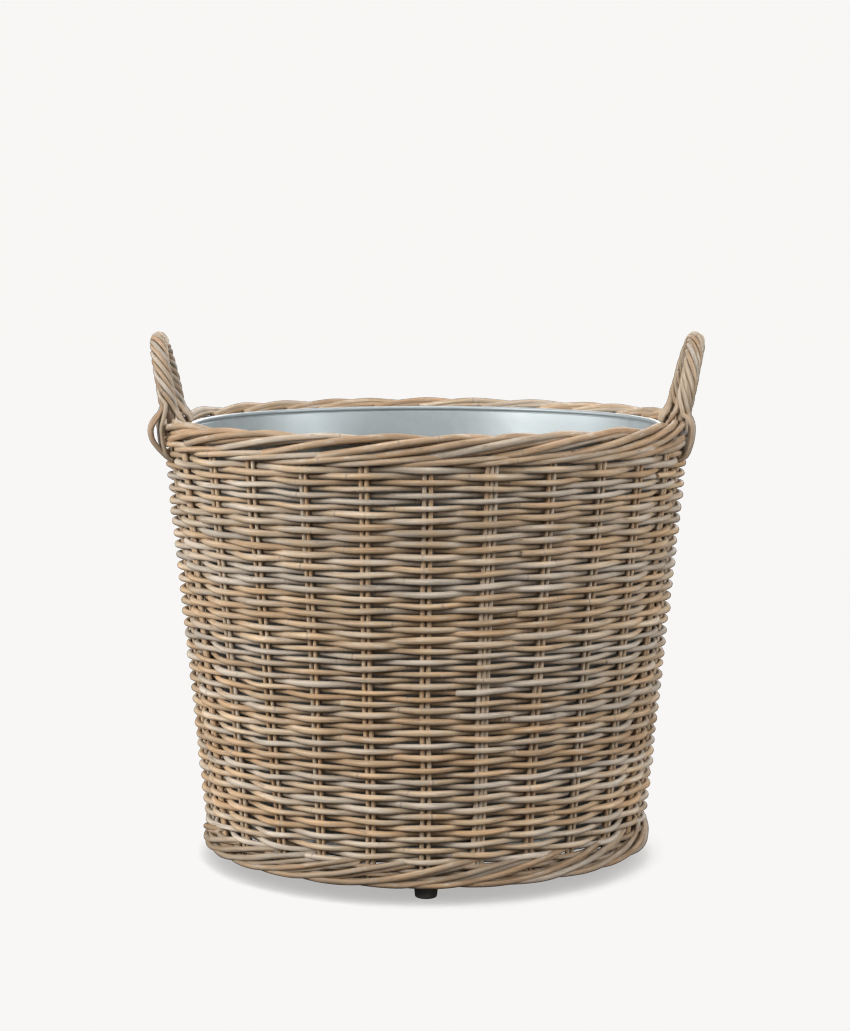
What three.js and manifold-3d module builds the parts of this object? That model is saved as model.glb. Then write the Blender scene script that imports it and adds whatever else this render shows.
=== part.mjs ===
// Round tapered log basket in rattan, with two roped handles and a lift-out sheet-metal liner.
// Millimetres, +Z up. The origin is on the floor under the centre; the front is -Y and the
// handles are at +X and -X. An azimuth is an angle round the basket, from the front towards +X.
import * as THREE from 'three';
import { mergeVertices } from 'three/addons/utils/BufferGeometryUtils.js';
import Module from 'manifold-3d';

const wasm = await Module();
wasm.setup();

// ---- Driving dimensions ----
const gap = 0.3; // clearance between pieces that touch
const stakeCount = 27; // an odd number, so that one rod weaves a plain spiral
const ringFacets = 2 * stakeCount;

const wallRadiusAtFloor = 224.8; // circle of the stakes, carried down to the floor
const wallTaper = 0.1; // radius gained per unit of height
const wallHalfThickness = 8.9;
const stakeRodRadius = 2.25; // a stake is two of these rods side by side
const stakeRodSpacing = 6.2;

const footBorderBottom = 16;
const footBorderTop = 38;
const footBorderInner = 218;
const footBorderOuter = 240;
const footBorderBevel = [3, 5]; // width and height cut off the section's corners
const stakeBottom = 20.3;
const waleBottom = 439.5;
const waleTop = 451.5;
const waleHalfWidth = 9.6;
const waleBevel = [2.5, 3];
const borderCrest = 472;
const borderInner = 262;
const borderOuter = 280;
const weaveBandCount = 3;

const poleRadius = 9;
const poleHeight = 28.5; // centre line of the crossed poles
const poleEndRadius = 223; // how far the poles reach into the foot border
const baseWeaveTop = 44.5;
const baseWeaveRadius = 217.4;

const footCircle = 204;
const footTopRadius = 13.5;
const footBottomRadius = 11;
const footTop = 25.7;
const footEdgeRadius = 2;
const counterboreRadius = 4.5;
const counterboreDepth = 8;
const screwShankRadius = 1.75;
const screwHeadRadius = 3.6;
const screwHeadHeight = 3.2;
const screwTip = 35.5;
const screwPointLength = 4;
const nailRadius = 1.2;
const nailHeadRadius = 3;
const nailHeadHeight = 1.4;
const nailTip = 35;
const nailPointLength = 2;

const bowRadius = 5;
const ropeRadius = 9.4; // outside of the rods wound round the bow
const bowLegBottom = 330;
const bowLegTop = 452; // the arch starts to bend out above this height
const frontLegAzimuth = 76.7; // degrees; this leg is pushed in beside a stake
const backLegAzimuth = 100; // and this one midway between two stakes
const handleTop = 560;
const handleLean = 0.234; // outward lean of the arch per unit of height
const tieRadius = 4; // bundle of rod ends tied down outside the border
const innerTieRadius = 2.6; // the same inside the border
const tieBottom = 432;

const linerFloor = baseWeaveTop + gap;
const sheetThickness = 0.8;
const linerBottomRadius = 207;
const rimCentreRadius = 248.4;
const rimCentreHeight = 460.9;
const rimWireRadius = 1.3;
const seamHeight = 7;

// ---- Looks ----
const finishes = {
  stakeCane: { color: 0x8a6f52, roughness: 0.7, metalness: 0 },
  weaveCane: { color: 0xb3a18a, roughness: 0.7, metalness: 0 },
  borderCane: { color: 0xb5a288, roughness: 0.68, metalness: 0 },
  handleCane: { color: 0xb0977b, roughness: 0.68, metalness: 0 },
  baseCane: { color: 0x9c866b, roughness: 0.75, metalness: 0 },
  zincSheet: { color: 0xaab3b5, roughness: 0.42, metalness: 0.75 },
  steel: { color: 0x8d8f92, roughness: 0.35, metalness: 0.9 },
  footPlastic: { color: 0x202020, roughness: 0.6, metalness: 0 },
};

const basket = new THREE.Group();
basket.name = 'log_basket';

function add(name, geometry, finish) {
  const mesh = new THREE.Mesh(geometry, new THREE.MeshStandardMaterial(finishes[finish]));
  mesh.name = name;
  basket.add(mesh);
  return mesh;
}

// ---- Shared geometry ----
const radians = THREE.MathUtils.degToRad;

function stakeCircle(height) {
  return wallRadiusAtFloor + wallTaper * height;
}

function outward(azimuth) {
  return new THREE.Vector3(Math.sin(azimuth), -Math.cos(azimuth), 0);
}

function sideways(azimuth) {
  return new THREE.Vector3(Math.cos(azimuth), Math.sin(azimuth), 0);
}

function onWall(azimuth, height, offset = 0) {
  const point = outward(azimuth).multiplyScalar(stakeCircle(height) + offset);
  return point.setZ(height);
}

// Frame on the wall: X round the basket, Y inwards, Z up the slope.
function wallFrame(azimuth, height) {
  const along = outward(azimuth).multiplyScalar(wallTaper).setZ(1).normalize();
  const across = sideways(azimuth);
  const inwards = new THREE.Vector3().crossVectors(along, across);
  return new THREE.Matrix4().makeBasis(across, inwards, along).setPosition(onWall(azimuth, height));
}

// Solid of revolution about Z from an outline of [radius, height] pairs, listed anticlockwise.
// An outline that touches the axis starts and ends on it; any other closes on itself.
function turned(outline, segments = ringFacets) {
  const points = outline.map(([radius, height]) => new THREE.Vector2(radius, height));
  const touchesAxis = points[0].x === 0;
  if (!touchesAxis) points.push(points[0].clone());
  return cleaned(new THREE.LatheGeometry(points, segments).rotateX(Math.PI / 2));
}

// The same geometry with shared vertices and without empty triangles.
function cleaned(geometry) {
  const bare = geometry.clone();
  bare.deleteAttribute('normal');
  bare.deleteAttribute('uv');
  const merged = mergeVertices(bare, 1e-3);
  const corners = merged.index.array;
  const kept = [];
  for (let i = 0; i < corners.length; i += 3) {
    const [a, b, c] = corners.slice(i, i + 3);
    if (a !== b && b !== c && c !== a) kept.push(a, b, c);
  }
  merged.setIndex(kept);
  return merged;
}

function toSolid(geometry) {
  const closed = cleaned(geometry);
  return new wasm.Manifold(new wasm.Mesh({
    numProp: 3,
    vertProperties: new Float32Array(closed.attributes.position.array),
    triVerts: new Uint32Array(closed.index.array),
  }));
}

function toGeometry(solid) {
  const { vertProperties, triVerts } = solid.getMesh();
  const geometry = new THREE.BufferGeometry();
  geometry.setAttribute('position', new THREE.BufferAttribute(vertProperties, 3));
  geometry.setIndex(new THREE.BufferAttribute(triVerts, 1));
  return geometry;
}

function cut(geometry, cutters) {
  const body = cutters.reduce((rest, cutter) => rest.subtract(toSolid(cutter)), toSolid(geometry));
  return toGeometry(body);
}

function join(geometries) {
  const [first, ...others] = geometries.map(toSolid);
  return toGeometry(others.reduce((sum, other) => sum.add(other), first));
}

// Outline of an oval section.
function oval(inner, outer, bottom, top, points) {
  const middle = [(inner + outer) / 2, (bottom + top) / 2];
  const half = [(outer - inner) / 2, (top - bottom) / 2];
  return Array.from({ length: points }, (_, i) => {
    const angle = (2 * Math.PI * i) / points;
    return [middle[0] + half[0] * Math.cos(angle), middle[1] + half[1] * Math.sin(angle)];
  });
}

// Outline of a rectangular section with its corners cut back by a width and a height.
function bevelled(inner, outer, bottom, top, [width, height]) {
  return [
    [inner + width, bottom],
    [outer - width, bottom],
    [outer, bottom + height],
    [outer, top - height],
    [outer - width, top],
    [inner + width, top],
    [inner, top - height],
    [inner, bottom + height],
  ];
}

function circleShape(radius) {
  return new THREE.Shape().absarc(0, 0, radius, 0, 2 * Math.PI);
}

// Round rod along a curve.
function rod(path, radius, steps, curveSegments = 4) {
  const shape = circleShape(radius);
  return new THREE.ExtrudeGeometry(shape, { steps, curveSegments, extrudePath: path });
}

function uprightCylinder(radius, bottom, top, segments = 12) {
  return turned([[0, bottom], [radius, bottom], [radius, top], [0, top]], segments);
}

// ---- Stakes: 27 pairs of rods, upright in the wall ----
const stakeSlope = Math.hypot(1, wallTaper);
const stakeHalfWidth = stakeRodSpacing / 2 + stakeRodRadius;

function stakePrism(bottom, top) {
  const outline = new THREE.Shape();
  outline.absarc(stakeRodSpacing / 2, 0, stakeRodRadius, -Math.PI / 2, Math.PI / 2);
  outline.absarc(-stakeRodSpacing / 2, 0, stakeRodRadius, Math.PI / 2, (3 * Math.PI) / 2);
  const depth = (top - bottom) * stakeSlope;
  return new THREE.ExtrudeGeometry(outline, { depth, bevelEnabled: false, curveSegments: 2 });
}

const stakeAzimuths = Array.from({ length: stakeCount }, (_, i) => (2 * Math.PI * i) / stakeCount);

function stakeChannels(bottom, top) {
  const width = 2 * (stakeHalfWidth + gap);
  const depth = 2 * (stakeRodRadius + gap);
  const length = (top - bottom) * stakeSlope;
  return stakeAzimuths.map((azimuth) => (
    new THREE.BoxGeometry(width, depth, length).translate(0, 0, length / 2)
      .applyMatrix4(wallFrame(azimuth, bottom))
  ));
}

const stakeTop = waleTop - gap;
stakeAzimuths.forEach((azimuth, i) => {
  const name = `stake_${String(i + 1).padStart(2, '0')}`;
  const stake = add(name, cleaned(stakePrism(stakeBottom, stakeTop)), 'stakeCane');
  stake.applyMatrix4(wallFrame(azimuth, stakeBottom));
});

// ---- Handle bows: a leg is straight down the wall and the arch is half an ellipse ----
const handleAzimuth = radians((frontLegAzimuth + backLegAzimuth) / 2);
const halfAngle = radians((backLegAzimuth - frontLegAzimuth) / 2);
const archCentre = {
  distance: stakeCircle(borderCrest) * Math.cos(halfAngle),
  halfSpan: stakeCircle(borderCrest) * Math.sin(halfAngle),
  rise: handleTop - ropeRadius - borderCrest,
};

function archPoint(azimuth, angle) {
  const rise = archCentre.rise * Math.sin(angle);
  const point = outward(azimuth).multiplyScalar(archCentre.distance + handleLean * rise);
  point.addScaledVector(sideways(azimuth), -archCentre.halfSpan * Math.cos(angle));
  return point.setZ(borderCrest + rise);
}

function archPoints(azimuth, fromAngle, toAngle, count) {
  return Array.from({ length: count }, (_, i) => (
    archPoint(azimuth, fromAngle + ((toAngle - fromAngle) * i) / (count - 1))
  ));
}

function legLine(azimuth, bottom) {
  return [bottom, (bottom + bowLegTop) / 2, bowLegTop].map((height) => onWall(azimuth, height));
}

function bowPath(azimuth, legBottom) {
  return new THREE.CatmullRomCurve3([
    ...legLine(azimuth - halfAngle, legBottom),
    ...archPoints(azimuth, 0, Math.PI, 13),
    ...legLine(azimuth + halfAngle, legBottom).reverse(),
  ]);
}

const handleAzimuths = { right: handleAzimuth, left: -handleAzimuth };
const bowSteps = 30;
const bowChannels = Object.values(handleAzimuths).map((azimuth) => (
  rod(bowPath(azimuth, bowLegBottom - gap), bowRadius + gap, bowSteps)
));

// ---- Handle wraps: a sleeve for the roped rods, with the rod ends tied down over the border ----
const sleeveStart = 0.13; // angle on the arch where the roping starts, just above the border
const tieRoot = 0.26; // angle on the arch where the ends leave the roping
const borderMiddle = (waleTop + borderCrest) / 2;
const borderHalfWidth = (borderOuter - borderInner) / 2;

// One bundle of rod ends beside a leg; face is 1 outside the border and -1 inside it.
function tie(azimuth, side, face, radius) {
  const legAzimuth = azimuth + side * halfAngle;
  const root = archPoint(azimuth, side < 0 ? tieRoot : Math.PI - tieRoot);
  const besideBorder = face * (borderHalfWidth + 2 * gap + radius);
  const besideWall = face * (waleHalfWidth + 2 * gap + radius);
  const path = new THREE.CatmullRomCurve3([
    root.addScaledVector(outward(legAzimuth), face * (ropeRadius - radius - 1)),
    onWall(legAzimuth, borderCrest, besideBorder),
    onWall(legAzimuth, borderMiddle, besideBorder),
    onWall(legAzimuth, waleTop - 4, besideWall),
    onWall(legAzimuth, tieBottom, besideWall),
  ]);
  return rod(path, radius, 8, 3);
}

function wrap(azimuth) {
  const sleevePath = new THREE.CatmullRomCurve3(archPoints(azimuth, sleeveStart, Math.PI - sleeveStart, 13));
  const ties = [-1, 1].flatMap((side) => [
    tie(azimuth, side, 1, tieRadius),
    tie(azimuth, side, -1, innerTieRadius),
  ]);
  const bowSpace = rod(bowPath(azimuth, bowLegBottom), bowRadius + gap, bowSteps);
  return cut(join([rod(sleevePath, ropeRadius, 16), ...ties]), [bowSpace]);
}

for (const [side, azimuth] of Object.entries(handleAzimuths)) {
  add(`handle_${side}_bow`, cleaned(rod(bowPath(azimuth, bowLegBottom), bowRadius, bowSteps)), 'handleCane');
  add(`handle_${side}_wrap`, wrap(azimuth), 'handleCane');
}

// ---- Side weaving: bands of plain weave, with a channel round each stake and bow leg ----
const weaveBottom = footBorderTop + gap;
const bandHeight = (waleBottom - weaveBottom) / weaveBandCount;
for (let band = 0; band < weaveBandCount; band += 1) {
  const bottom = weaveBottom + band * bandHeight;
  const top = bottom + bandHeight - gap;
  const outline = [
    [stakeCircle(bottom) - wallHalfThickness, bottom],
    [stakeCircle(bottom) + wallHalfThickness, bottom],
    [stakeCircle(top) + wallHalfThickness, top],
    [stakeCircle(top) - wallHalfThickness, top],
  ];
  const channels = stakeChannels(bottom - 1, top + 1);
  if (top > bowLegBottom) channels.push(...bowChannels);
  add(`side_weave_${band + 1}`, cut(turned(outline), channels), 'weaveCane');
}

// ---- Upper wale and the two rolled borders ----
const waleCircle = stakeCircle((waleBottom + waleTop) / 2);
const waleOutline = bevelled(
  waleCircle - waleHalfWidth, waleCircle + waleHalfWidth, waleBottom, waleTop - gap / 2, waleBevel,
);
const waleChannels = [...stakeChannels(waleBottom - 1, waleTop + 1), ...bowChannels];
add('upper_wale', cut(turned(waleOutline), waleChannels), 'borderCane');

const topBorderOutline = oval(borderInner, borderOuter, waleTop + gap / 2, borderCrest, 8);
add('top_border', cut(turned(topBorderOutline), bowChannels), 'borderCane');

function poleRod(radius, halfLength, turn) {
  const cylinder = new THREE.CylinderGeometry(radius, radius, 2 * halfLength, 12);
  return cylinder.rotateZ(turn).translate(0, 0, poleHeight);
}

const footBorderOutline = bevelled(
  footBorderInner, footBorderOuter, footBorderBottom, footBorderTop, footBorderBevel,
);
const footBorderCuts = [
  ...stakeChannels(stakeBottom - gap, footBorderTop + 1),
  poleRod(poleRadius + gap, poleEndRadius + gap, 0),
  poleRod(poleRadius + gap, poleEndRadius + gap, Math.PI / 2),
];
add('foot_border', cut(turned(footBorderOutline), footBorderCuts), 'borderCane');

// ---- Base: two poles half-lapped in a cross, a nail through the lap, and a woven disc on top ----
function block(width, depth, bottom, top, x = 0, y = 0) {
  return new THREE.BoxGeometry(width, depth, top - bottom).translate(x, y, (bottom + top) / 2);
}

const lapWidth = 2 * (poleRadius + gap);
const poleTop = poleHeight + poleRadius;
const footAzimuths = { front: 0, right: Math.PI / 2, back: Math.PI, left: -Math.PI / 2 };

function footSeatCuts(sides) {
  return sides.flatMap((side) => {
    const centre = outward(footAzimuths[side]).multiplyScalar(footCircle);
    const seat = 2 * footTopRadius + 4;
    const pilot = uprightCylinder(screwShankRadius + gap, footBorderBottom, screwTip + gap, 8);
    return [
      block(seat, seat, footBorderBottom, footTop + gap, centre.x, centre.y),
      pilot.translate(centre.x, centre.y, 0),
    ];
  });
}

const nailHole = uprightCylinder(nailRadius + gap, footBorderBottom, nailTip + gap, 8);
add('base_pole_x', cut(poleRod(poleRadius, poleEndRadius, Math.PI / 2), [
  block(lapWidth, lapWidth, poleHeight - gap / 2, poleTop + 1),
  nailHole,
  ...footSeatCuts(['left', 'right']),
]), 'baseCane');
add('base_pole_y', cut(poleRod(poleRadius, poleEndRadius, 0), [
  block(lapWidth, lapWidth, poleHeight - poleRadius - 1, poleHeight + gap / 2),
  nailHole,
  ...footSeatCuts(['front', 'back']),
]), 'baseCane');

const nailHeadTop = poleHeight - poleRadius - gap;
add('pole_nail', turned([
  [0, nailHeadTop - nailHeadHeight],
  [nailHeadRadius, nailHeadTop - nailHeadHeight],
  [nailHeadRadius, nailHeadTop],
  [nailRadius, nailHeadTop],
  [nailRadius, nailTip - nailPointLength],
  [0, nailTip],
], 12), 'steel');

add('base_weave', uprightCylinder(baseWeaveRadius, poleTop + gap, baseWeaveTop, ringFacets), 'baseCane');

// ---- Feet: tapered plastic buttons, each with a countersunk screw up into a pole ----
const footOutline = [
  [counterboreRadius, 0],
  [footBottomRadius - footEdgeRadius, 0],
  [footBottomRadius - footEdgeRadius * 0.3, footEdgeRadius * 0.3],
  [footBottomRadius, footEdgeRadius],
  [footTopRadius, footTop],
  [screwShankRadius + gap, footTop],
  [screwShankRadius + gap, counterboreDepth],
  [counterboreRadius, counterboreDepth],
];
const screwHeadTop = counterboreDepth - gap;
const screwOutline = [
  [0, screwHeadTop - screwHeadHeight],
  [screwHeadRadius, screwHeadTop - screwHeadHeight],
  [screwHeadRadius, screwHeadTop],
  [screwShankRadius, screwHeadTop],
  [screwShankRadius, screwTip - screwPointLength],
  [0, screwTip],
];
for (const [side, azimuth] of Object.entries(footAzimuths)) {
  const place = outward(azimuth).multiplyScalar(footCircle);
  add(`foot_${side}`, turned(footOutline, 20), 'footPlastic').position.copy(place);
  add(`foot_screw_${side}`, turned(screwOutline, 12), 'steel').position.copy(place);
}

// ---- Liner: tapered wall curled over a rim wire, and a base disc with an upturned seam ----
const curlInner = rimWireRadius + gap;
const curlOuter = curlInner + sheetThickness;
const curlStart = radians(240);
const curlEnd = radians(-50);
const neckLift = 0.15; // outer face of the wall meets the curl this much above the inner face

function curlPoint(radius, angle) {
  return [rimCentreRadius + radius * Math.cos(angle), rimCentreHeight + radius * Math.sin(angle)];
}

function curlArc(radius, from, to, count) {
  return Array.from({ length: count }, (_, i) => (
    curlPoint(radius, from + ((to - from) * i) / (count - 1))
  ));
}

const wallBottom = linerFloor + sheetThickness + gap;
const neck = curlPoint(curlOuter, curlStart);
const neckOuter = [neck[0] + sheetThickness, neck[1] + neckLift];
const wallOutline = [
  [linerBottomRadius - sheetThickness, wallBottom],
  [linerBottomRadius, wallBottom],
  neckOuter,
  ...curlArc(curlInner, curlStart, curlEnd, 7),
  ...curlArc(curlOuter, curlEnd, curlStart, 8),
];
add('liner_wall', turned(wallOutline), 'zincSheet');

const rimWireOutline = oval(
  rimCentreRadius - rimWireRadius, rimCentreRadius + rimWireRadius,
  rimCentreHeight - rimWireRadius, rimCentreHeight + rimWireRadius, 6,
);
add('liner_rim_wire', turned(rimWireOutline), 'steel');

const linerTaper = (neckOuter[0] - linerBottomRadius) / (neckOuter[1] - wallBottom);
const seamTop = linerFloor + seamHeight;
const seamInner = linerBottomRadius + linerTaper * seamHeight + 2 * gap;
add('liner_base', turned([
  [0, linerFloor],
  [seamInner + sheetThickness, linerFloor],
  [seamInner + sheetThickness, seamTop],
  [seamInner, seamTop],
  [seamInner, linerFloor + sheetThickness],
  [0, linerFloor + sheetThickness],
]), 'zincSheet');

export default basket;
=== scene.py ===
"""Looks of the rattan log basket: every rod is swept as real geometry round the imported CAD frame."""
import math

import bpy
import numpy as np
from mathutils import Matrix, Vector


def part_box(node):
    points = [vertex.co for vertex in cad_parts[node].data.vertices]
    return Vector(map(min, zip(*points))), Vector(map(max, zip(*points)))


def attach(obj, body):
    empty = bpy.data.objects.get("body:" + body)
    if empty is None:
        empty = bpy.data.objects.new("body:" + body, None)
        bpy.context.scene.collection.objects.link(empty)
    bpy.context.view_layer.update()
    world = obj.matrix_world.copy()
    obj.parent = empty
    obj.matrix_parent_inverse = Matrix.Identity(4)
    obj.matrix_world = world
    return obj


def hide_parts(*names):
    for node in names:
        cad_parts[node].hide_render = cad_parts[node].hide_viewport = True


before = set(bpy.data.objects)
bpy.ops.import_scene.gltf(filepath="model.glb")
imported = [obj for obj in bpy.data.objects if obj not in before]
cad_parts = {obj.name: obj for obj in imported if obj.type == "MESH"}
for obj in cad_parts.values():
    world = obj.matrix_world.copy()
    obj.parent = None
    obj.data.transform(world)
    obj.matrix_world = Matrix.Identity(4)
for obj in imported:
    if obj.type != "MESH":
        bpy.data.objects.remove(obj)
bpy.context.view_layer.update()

TAU = 2 * math.pi
MM = 0.001
SEED = 27

# ---------------------------------------------------------------------------
# Sizes in millimetres, read from the frame
# ---------------------------------------------------------------------------


def span(node, axis):
    """Lowest and highest coordinate of a CAD node along an axis."""
    low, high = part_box(node)
    return low[axis] / MM, high[axis] / MM


STAKES = sum(name.startswith("stake_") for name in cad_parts)
STEP = TAU / STAKES
BACK_STAKE = STAKES // 2  # the spirals start at this stake, behind

WEAVE_BOTTOM = span("side_weave_1", 2)[0]
WEAVE_TOP = span("side_weave_3", 2)[1]
WALE_BOTTOM, WALE_TOP = span("upper_wale", 2)
BORDER_BOTTOM, BORDER_CREST = span("top_border", 2)
BORDER_OUTER = span("top_border", 1)[1]
FOOT_BOTTOM = span("foot_border", 2)[0]
FOOT_OUTER = span("foot_border", 1)[1]
LINER_BOTTOM = span("liner_base", 2)[0]
RIM_TOP = span("liner_wall", 2)[1]
RIM_OUTER = span("liner_wall", 1)[1]
BASE_BOTTOM, BASE_TOP = span("base_weave", 2)
BASE_RADIUS = span("base_weave", 1)[1]
HANDLE_TOP = span("handle_right_wrap", 2)[1]

WALL_HALF = 8.9  # from the stakes' circle to the outside of the weave's CAD solids
WALL_SLOPE = (span("side_weave_3", 1)[1] - span("side_weave_1", 1)[1]) / (
    span("side_weave_3", 2)[1] - span("side_weave_1", 2)[1])
WALL_FOOT = span("side_weave_3", 1)[1] - WALL_SLOPE * WEAVE_TOP - WALL_HALF


def wall(z):
    """Radius of the stakes' circle at a height."""
    return WALL_FOOT + WALL_SLOPE * z


# Rods: radii, and how they lie
STAKE_ROD = 2.2
STAKE_GAP = 6.2  # between the two rods of a stake
WEAVER = 3.2
ROW_PITCH = 5.95
WEAVE_SWING = STAKE_ROD + WEAVER + 0.3
BORDER_ROD = 3.4
WALE_ROD = 3.0
FOOT_ROD = 3.15
ROPE_ROD = 2.45
BOW = 5.0
UNEVEN = 0.07  # how much a rod's thickness wanders
OUT_OF_ROUND = 0.03
CUT_BEVEL = 0.12  # of the radius
CUT_DARK = 0.45

# ---------------------------------------------------------------------------
# Rods: a swept tube with natural unevenness, and what its material needs
# ---------------------------------------------------------------------------


def unit(v):
    return v / np.maximum(np.linalg.norm(v, axis=-1, keepdims=True), 1e-9)


def ease(t):
    t = np.clip(t, 0, 1)
    return t * t * (3 - 2 * t)


def wander(rng, s, spacing, amount=1.0):
    """Smooth random values along s that change over about one spacing."""
    knots = rng.uniform(-1, 1, int((s[-1] - s[0]) / spacing) + 3)
    u = (s - s[0]) / spacing
    i = u.astype(int)
    f = ease(u - i)
    return amount * (knots[i] * (1 - f) + knots[i + 1] * f)


def ripple(rng, around, tall, amount):
    """Smooth random field over the wall; patches are 1/around of a turn wide and tall high."""
    grid = rng.uniform(-amount, amount, (around, int(BORDER_CREST / tall) + 4))

    def value(theta, z):
        u = np.mod(theta / TAU, 1) * around
        v = np.clip(z, 0, BORDER_CREST) / tall
        i, j = u.astype(int), v.astype(int)
        f, g = ease(u - i), ease(v - j)
        i, after = i % around, (i + 1) % around
        low = grid[i, j] * (1 - f) + grid[after, j] * f
        high = grid[i, j + 1] * (1 - f) + grid[after, j + 1] * f
        return low * (1 - g) + high * g

    return value


def lengths(path):
    steps = np.linalg.norm(np.diff(path, axis=0), axis=1)
    return np.concatenate([[0], np.cumsum(steps)])


def smooth_curve(points, spacing):
    """Catmull-Rom curve through points, resampled about every spacing."""
    p = np.asarray(points, float)
    p = np.vstack([2 * p[0] - p[1], p, 2 * p[-1] - p[-2]])
    t = np.linspace(0, 1, 12, endpoint=False)[:, None]
    parts = []
    for a, b, c, d in zip(p, p[1:], p[2:], p[3:]):
        parts.append(0.5 * (2 * b + (c - a) * t + (2 * a - 5 * b + 4 * c - d) * t ** 2
                            + (3 * b - a - 3 * c + d) * t ** 3))
    dense = np.vstack(parts + [p[-2:-1]])
    s = lengths(dense)
    even = np.linspace(0, s[-1], max(3, int(s[-1] / spacing) + 1))
    return np.column_stack([np.interp(even, s, dense[:, k]) for k in range(3)])


def outward(theta):
    theta = np.asarray(theta, float)
    return np.stack([np.sin(theta), -np.cos(theta), np.zeros_like(theta)], -1)


def sideways(theta):
    return np.array([math.cos(theta), math.sin(theta), 0.0])


def on_ring(theta, radius, z):
    """Points at an angle round the basket, a radius and a height."""
    theta, radius, z = np.broadcast_arrays(theta, radius, z)
    return np.stack([radius * np.sin(theta), -radius * np.cos(theta), z], -1).astype(float)


def angle_of(path):
    return np.arctan2(path[:, 0], -path[:, 1])


def carried_frame(path):
    """Tangents, and a normal carried along the path without twist."""
    tangent = unit(np.gradient(path, axis=0))
    normal = np.empty_like(path)
    normal[0] = unit(np.cross(tangent[0], [0.3, 0.2, 1.0]))
    for i in range(1, len(path)):
        normal[i] = unit(normal[i - 1] - np.dot(normal[i - 1], tangent[i]) * tangent[i])
    return tangent, normal


class Rods:
    """Collects swept rods into one mesh."""

    def __init__(self, name, seed):
        self.name = name
        self.rng = np.random.default_rng(SEED * 1000 + seed)
        self.points, self.faces, self.cane, self.tint = [], [], [], []
        self.count = 0

    def add(self, path, facing, radius, sides=10, flat=1.0, warmth=0.0, light=0.0, depth=0.0):
        """Sweeps a rod along path; facing points out of the wall and flat narrows it across facing.

        warmth and light run about -1 to 1; the last argument is painted shade, 0 in the open and 1 deep
        in the weave, where the colour is darkened to stand for shade.
        """
        rng = self.rng
        count = len(path)
        s = lengths(path)
        radius, flat, depth = (np.broadcast_to(v, count) for v in (radius, flat, depth))
        angle = np.arange(sides) / sides * TAU
        tangent = unit(np.gradient(path, axis=0))
        facing = np.broadcast_to(facing, path.shape)
        out = unit(facing - (facing * tangent).sum(1, keepdims=True) * tangent)
        side = np.cross(tangent, out) * flat[:, None]
        lobes = 2 * angle + wander(rng, s, 60, 1.5)[:, None] + rng.uniform(0, TAU)
        reach = (radius * (1 + wander(rng, s, 35, UNEVEN)))[:, None] * (1 + OUT_OF_ROUND * np.cos(lobes))
        ring = reach[..., None] * (
            np.cos(angle)[:, None] * out[:, None] + np.sin(angle)[:, None] * side[:, None])
        rings = path[:, None] + ring
        # a cut end is a short bevel and a flat face
        first = path[0] - tangent[0] * radius[0] * CUT_BEVEL + ring[0] * (1 - CUT_BEVEL)
        last = path[-1] + tangent[-1] * radius[-1] * CUT_BEVEL + ring[-1] * (1 - CUT_BEVEL)
        rings = np.concatenate([first[None], rings, last[None]])

        def ends(values):
            return np.concatenate([values[:1], values, values[-1:]])

        along = ends(s) + rng.uniform(0, 900)
        local = np.empty((count + 2, sides, 3))
        local[..., 0] = ends(radius)[:, None] * np.cos(angle)
        local[..., 1] = ends(radius)[:, None] * np.sin(angle)
        local[..., 2] = along[:, None]
        warm = warmth + wander(rng, s, 130, 0.5) + wander(rng, s, 33, 0.15)
        bright = light + wander(rng, s, 75, 0.45) + wander(rng, s, 21, 0.3)
        # channels: warmth, lightness, and painted shade for rods deep in the weave; the cut faces are
        # set darker in the same channel
        tint = np.ones((count + 2, sides, 4))
        for channel, values in enumerate((0.5 + 0.5 * warm, 0.5 + 0.5 * bright, depth)):
            tint[..., channel] = np.clip(ends(values), 0, 1)[:, None]
        tint[[0, -1], :, 2] = CUT_DARK

        index = self.count + np.arange((count + 2) * sides).reshape(count + 2, sides)
        a, b = index[:-1], index[1:]
        quads = np.stack([a, np.roll(a, -1, 1), np.roll(b, -1, 1), b], -1)
        self.faces += quads.reshape(-1, 4).tolist()
        self.faces += [index[0][::-1].tolist(), index[-1].tolist()]
        self.points.append(rings.reshape(-1, 3))
        self.cane.append(local.reshape(-1, 3))
        self.tint.append(tint.reshape(-1, 4))
        self.count += index.size

    def heights(self):
        z = np.vstack(self.points)[:, 2]
        return z.min(), z.max()

    def build(self, material, slot, body, *nodes):
        mesh = bpy.data.meshes.new(self.name)
        mesh.from_pydata((np.vstack(self.points) * MM).tolist(), [], self.faces)
        cane = mesh.attributes.new("cane", "FLOAT_VECTOR", "POINT")
        cane.data.foreach_set("vector", (np.vstack(self.cane) * MM).ravel())
        tint = mesh.attributes.new("tint", "FLOAT_COLOR", "POINT")
        tint.data.foreach_set("color", np.vstack(self.tint).ravel())
        mesh.polygons.foreach_set("use_smooth", np.ones(len(mesh.polygons), bool))
        mesh.update()
        return place(self.name, mesh, material, slot, body, *nodes)


def place(name, mesh, material, slot, body, *nodes):
    """Makes the object of a mesh, with its material, its body and the nodes it replaces; slot is not
    used.
    """
    obj = bpy.data.objects.new(name, mesh)
    bpy.context.scene.collection.objects.link(obj)
    mesh.materials.append(material)
    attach(obj, body)
    if nodes:
        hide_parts(*nodes)
    return obj


# ---------------------------------------------------------------------------
# Materials
# ---------------------------------------------------------------------------


def srgb(r, g, b):
    """Linear colour of an 8-bit sRGB one."""
    lin = [v / 255 / 12.92 if v <= 10 else ((v / 255 + 0.055) / 1.055) ** 2.4 for v in (r, g, b)]
    return (*lin, 1.0)


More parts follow.
